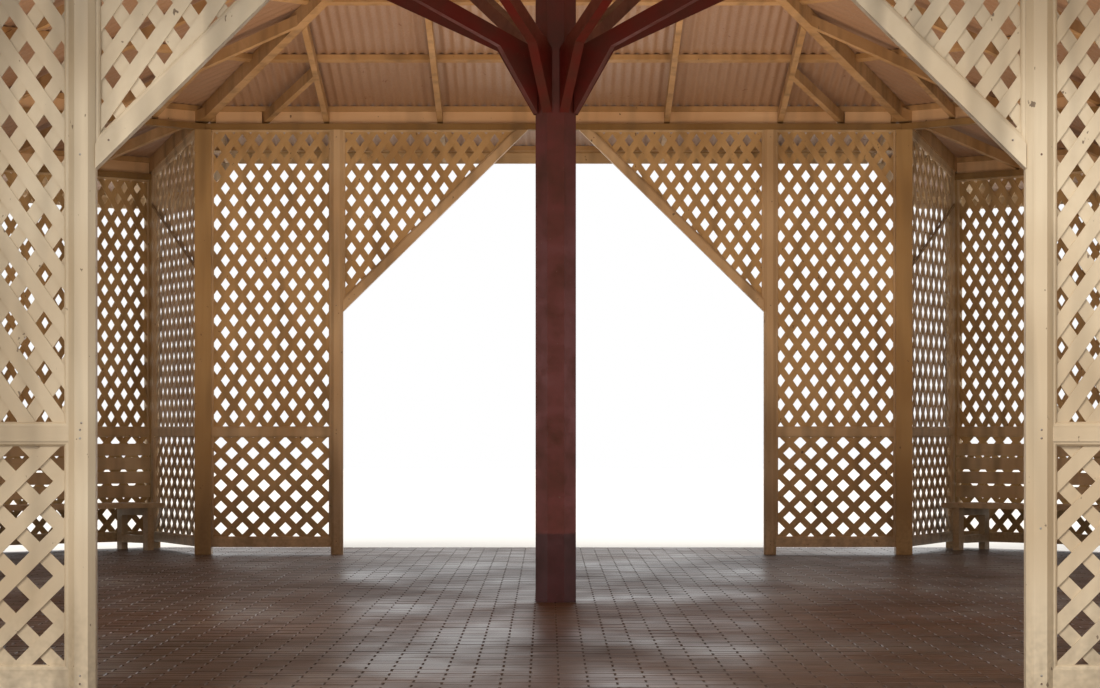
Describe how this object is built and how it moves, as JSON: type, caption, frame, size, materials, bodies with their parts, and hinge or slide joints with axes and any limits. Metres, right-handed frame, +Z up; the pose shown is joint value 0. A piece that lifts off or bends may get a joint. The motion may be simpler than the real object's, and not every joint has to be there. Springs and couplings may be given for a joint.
{
  "type": "lattice pavilion bandstand",
  "caption": "Octagonal timber lattice pavilion with wide braced entries, bench alcoves between them, an inner post and a low ribbed metal roof.",
  "frame": {"origin": "middle of the underside of the floor slab", "axes": "+Z up, the front entry faces -Y, +X to the right of someone looking in"},
  "size_m": [19.044, 19.044, 5.1755],
  "materials": {
    "cream_paint": "satin gloss paint on timber",
    "roof_timber": "older cream paint on sawn timber",
    "roof_metal": "ribbed sheet, matt coating",
    "red_iron": "dark red gloss paint",
    "paving": "worn brick paving"
  },
  "bodies": {
    "root": {"floor_slab": "paving", "corner_posts": "cream_paint", "outer_posts": "cream_paint", "jamb_posts": "cream_paint", "wall_studs": "cream_paint", "top_plates": "roof_timber", "entry_rails": "cream_paint", "entry_braces": "cream_paint", "wall_rails": "cream_paint", "return_stiles": "cream_paint", "return_rails": "cream_paint", "return_straps": "cream_paint", "front_entry_lattice": "cream_paint", "right_entry_lattice": "cream_paint", "back_entry_lattice": "cream_paint", "left_entry_lattice": "cream_paint", "front_right_lattice": "cream_paint", "back_right_lattice": "cream_paint", "back_left_lattice": "cream_paint", "front_left_lattice": "cream_paint", "front_return_lattice": "cream_paint", "right_return_lattice": "cream_paint", "back_return_lattice": "cream_paint", "left_return_lattice": "cream_paint", "hip_rafters": "roof_timber", "entry_rafters": "roof_timber", "alcove_rafters": "roof_timber", "jack_rafters": "roof_timber", "plate_blocks": "cream_paint", "purlins": "roof_timber", "roof_sheet_1": "roof_metal", "roof_sheet_2": "roof_metal", "roof_sheet_3": "roof_metal", "roof_sheet_4": "roof_metal", "roof_sheet_5": "roof_metal", "roof_sheet_6": "roof_metal", "roof_sheet_7": "roof_metal", "roof_sheet_8": "roof_metal", "roof_caps": "roof_metal", "fascia": "cream_paint", "centre_post": "red_iron", "post_struts": "red_iron", "bench_seats": "cream_paint", "bench_backs": "cream_paint", "bench_legs": "cream_paint"}
  },
  "joints": []
}
